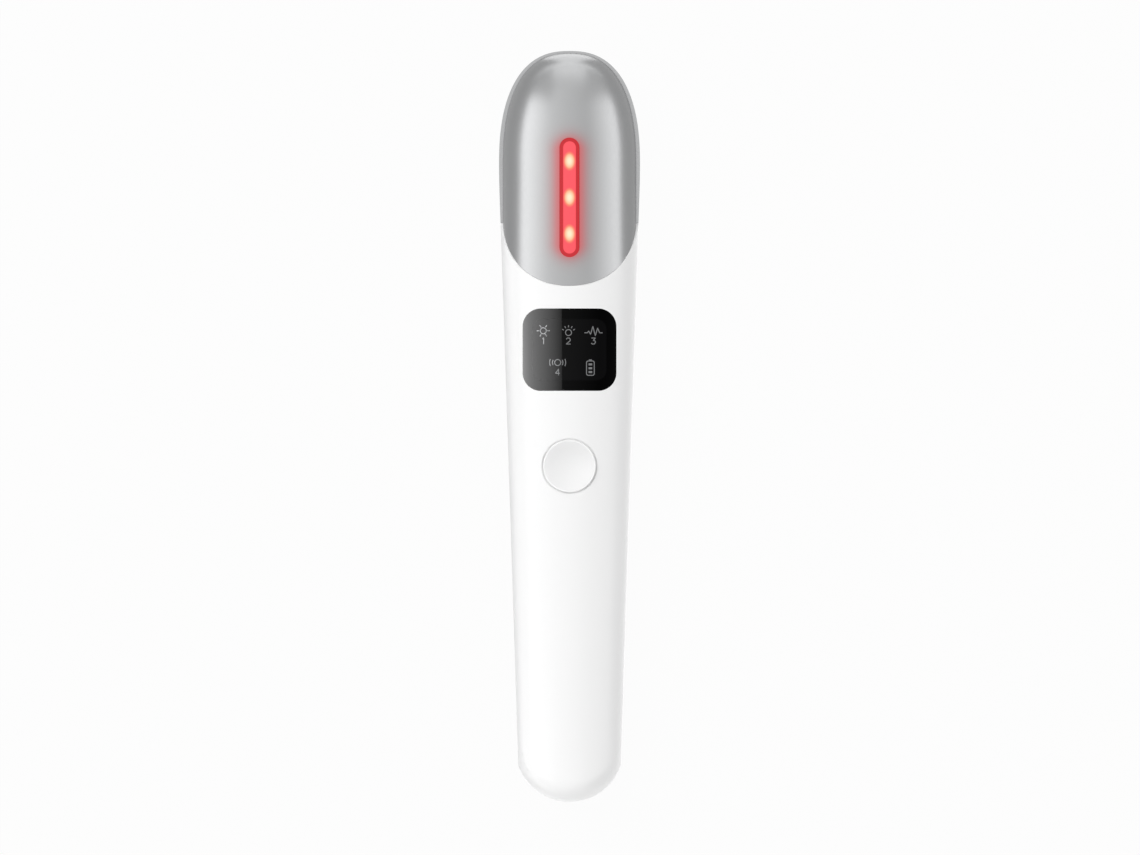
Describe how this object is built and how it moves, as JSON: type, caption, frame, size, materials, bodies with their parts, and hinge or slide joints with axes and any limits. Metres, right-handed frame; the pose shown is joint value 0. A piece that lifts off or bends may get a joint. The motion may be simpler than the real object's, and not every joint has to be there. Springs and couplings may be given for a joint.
{
  "type": "eye massager",
  "caption": "Hand-held eye massager wand with a heated metal head, a lit red slot, a display window and a push button.",
  "frame": {"origin": "on the flat of the back, under the middle of the wand's length and width", "axes": "+Y runs from the tail to the metal head, +Z from the flat back to the front face with the button, +X across"},
  "size_m": [0.0282, 0.1501, 0.022],
  "materials": {
    "white_gloss": "gloss moulded plastic",
    "white_button": "gloss moulded plastic",
    "satin_silver": "satin plated",
    "silver_ring": "satin plated",
    "red_light": "translucent, lit from behind",
    "black_glass": "high gloss tinted lens",
    "black_film": "printed film",
    "white_plastic": "moulded",
    "black_plastic": "moulded",
    "green_board": "solder mask",
    "amber_film": "polyimide film",
    "warm_led": "clear resin",
    "steel": "plated",
    "brass": "gold plated",
    "copper": "enamelled winding",
    "dark_metal": "sintered",
    "grey_rubber": "moulded",
    "foam": "open cell",
    "battery_wrap": "foil pouch",
    "red_wire": "insulation",
    "black_wire": "insulation"
  },
  "bodies": {
    "wand": {"front_shell": "white_gloss", "rear_shell": "white_gloss", "rear_electrode": "satin_silver", "shell_screw_1": "steel", "shell_screw_2": "steel", "screw_plug_1": "white_gloss", "screw_plug_2": "white_gloss", "head_plate": "satin_silver", "head_bezel": "silver_ring", "light_window": "red_light", "heater_film": "amber_film", "head_carrier": "white_plastic", "thermistor": "black_plastic", "led_board": "green_board", "led_1": "warm_led", "led_2": "warm_led", "led_3": "warm_led", "led_board_screw": "steel", "led_ribbon": "amber_film", "head_lead": "red_wire", "motor_can": "steel", "motor_end_cap": "black_plastic", "motor_magnet": "dark_metal", "motor_sleeve": "grey_rubber", "motor_lead_1": "red_wire", "motor_lead_2": "black_wire", "display_window": "black_glass", "icon_film": "black_film", "icon_light_box": "white_plastic", "icon_led_1": "warm_led", "icon_led_2": "warm_led", "icon_led_3": "warm_led", "icon_led_4": "warm_led", "icon_led_5": "warm_led", "main_board": "green_board", "switch_body": "black_plastic", "controller_chip": "black_plastic", "charger_chip": "black_plastic", "boost_inductor": "dark_metal", "filter_capacitor": "steel", "contact_pin": "brass", "usb_shell": "steel", "usb_tongue": "black_plastic", "board_screw_1": "steel", "board_screw_2": "steel", "board_screw_3": "steel", "battery_cell": "battery_wrap", "battery_foam": "foam", "battery_plug": "white_plastic", "battery_lead_1": "red_wire", "battery_lead_2": "black_wire"},
    "button": {"button_cap": "white_button", "switch_plunger": "brass"},
    "rotor": {"motor_shaft": "steel", "motor_armature": "copper", "eccentric_weight": "dark_metal"}
  },
  "joints": [
    {"name": "button_press", "type": "slide", "parent": "wand", "child": "button", "axis": [0, 0, -1], "range_m": [0, 0.0004], "stiffness_N_per_m": 1500, "springref_m": -0.0002},
    {"name": "motor_spin", "type": "hinge", "parent": "wand", "child": "rotor", "pos_m": [0, 0.0405, 0.0068], "axis": [0, 1, 0], "continuous": true}
  ]
}
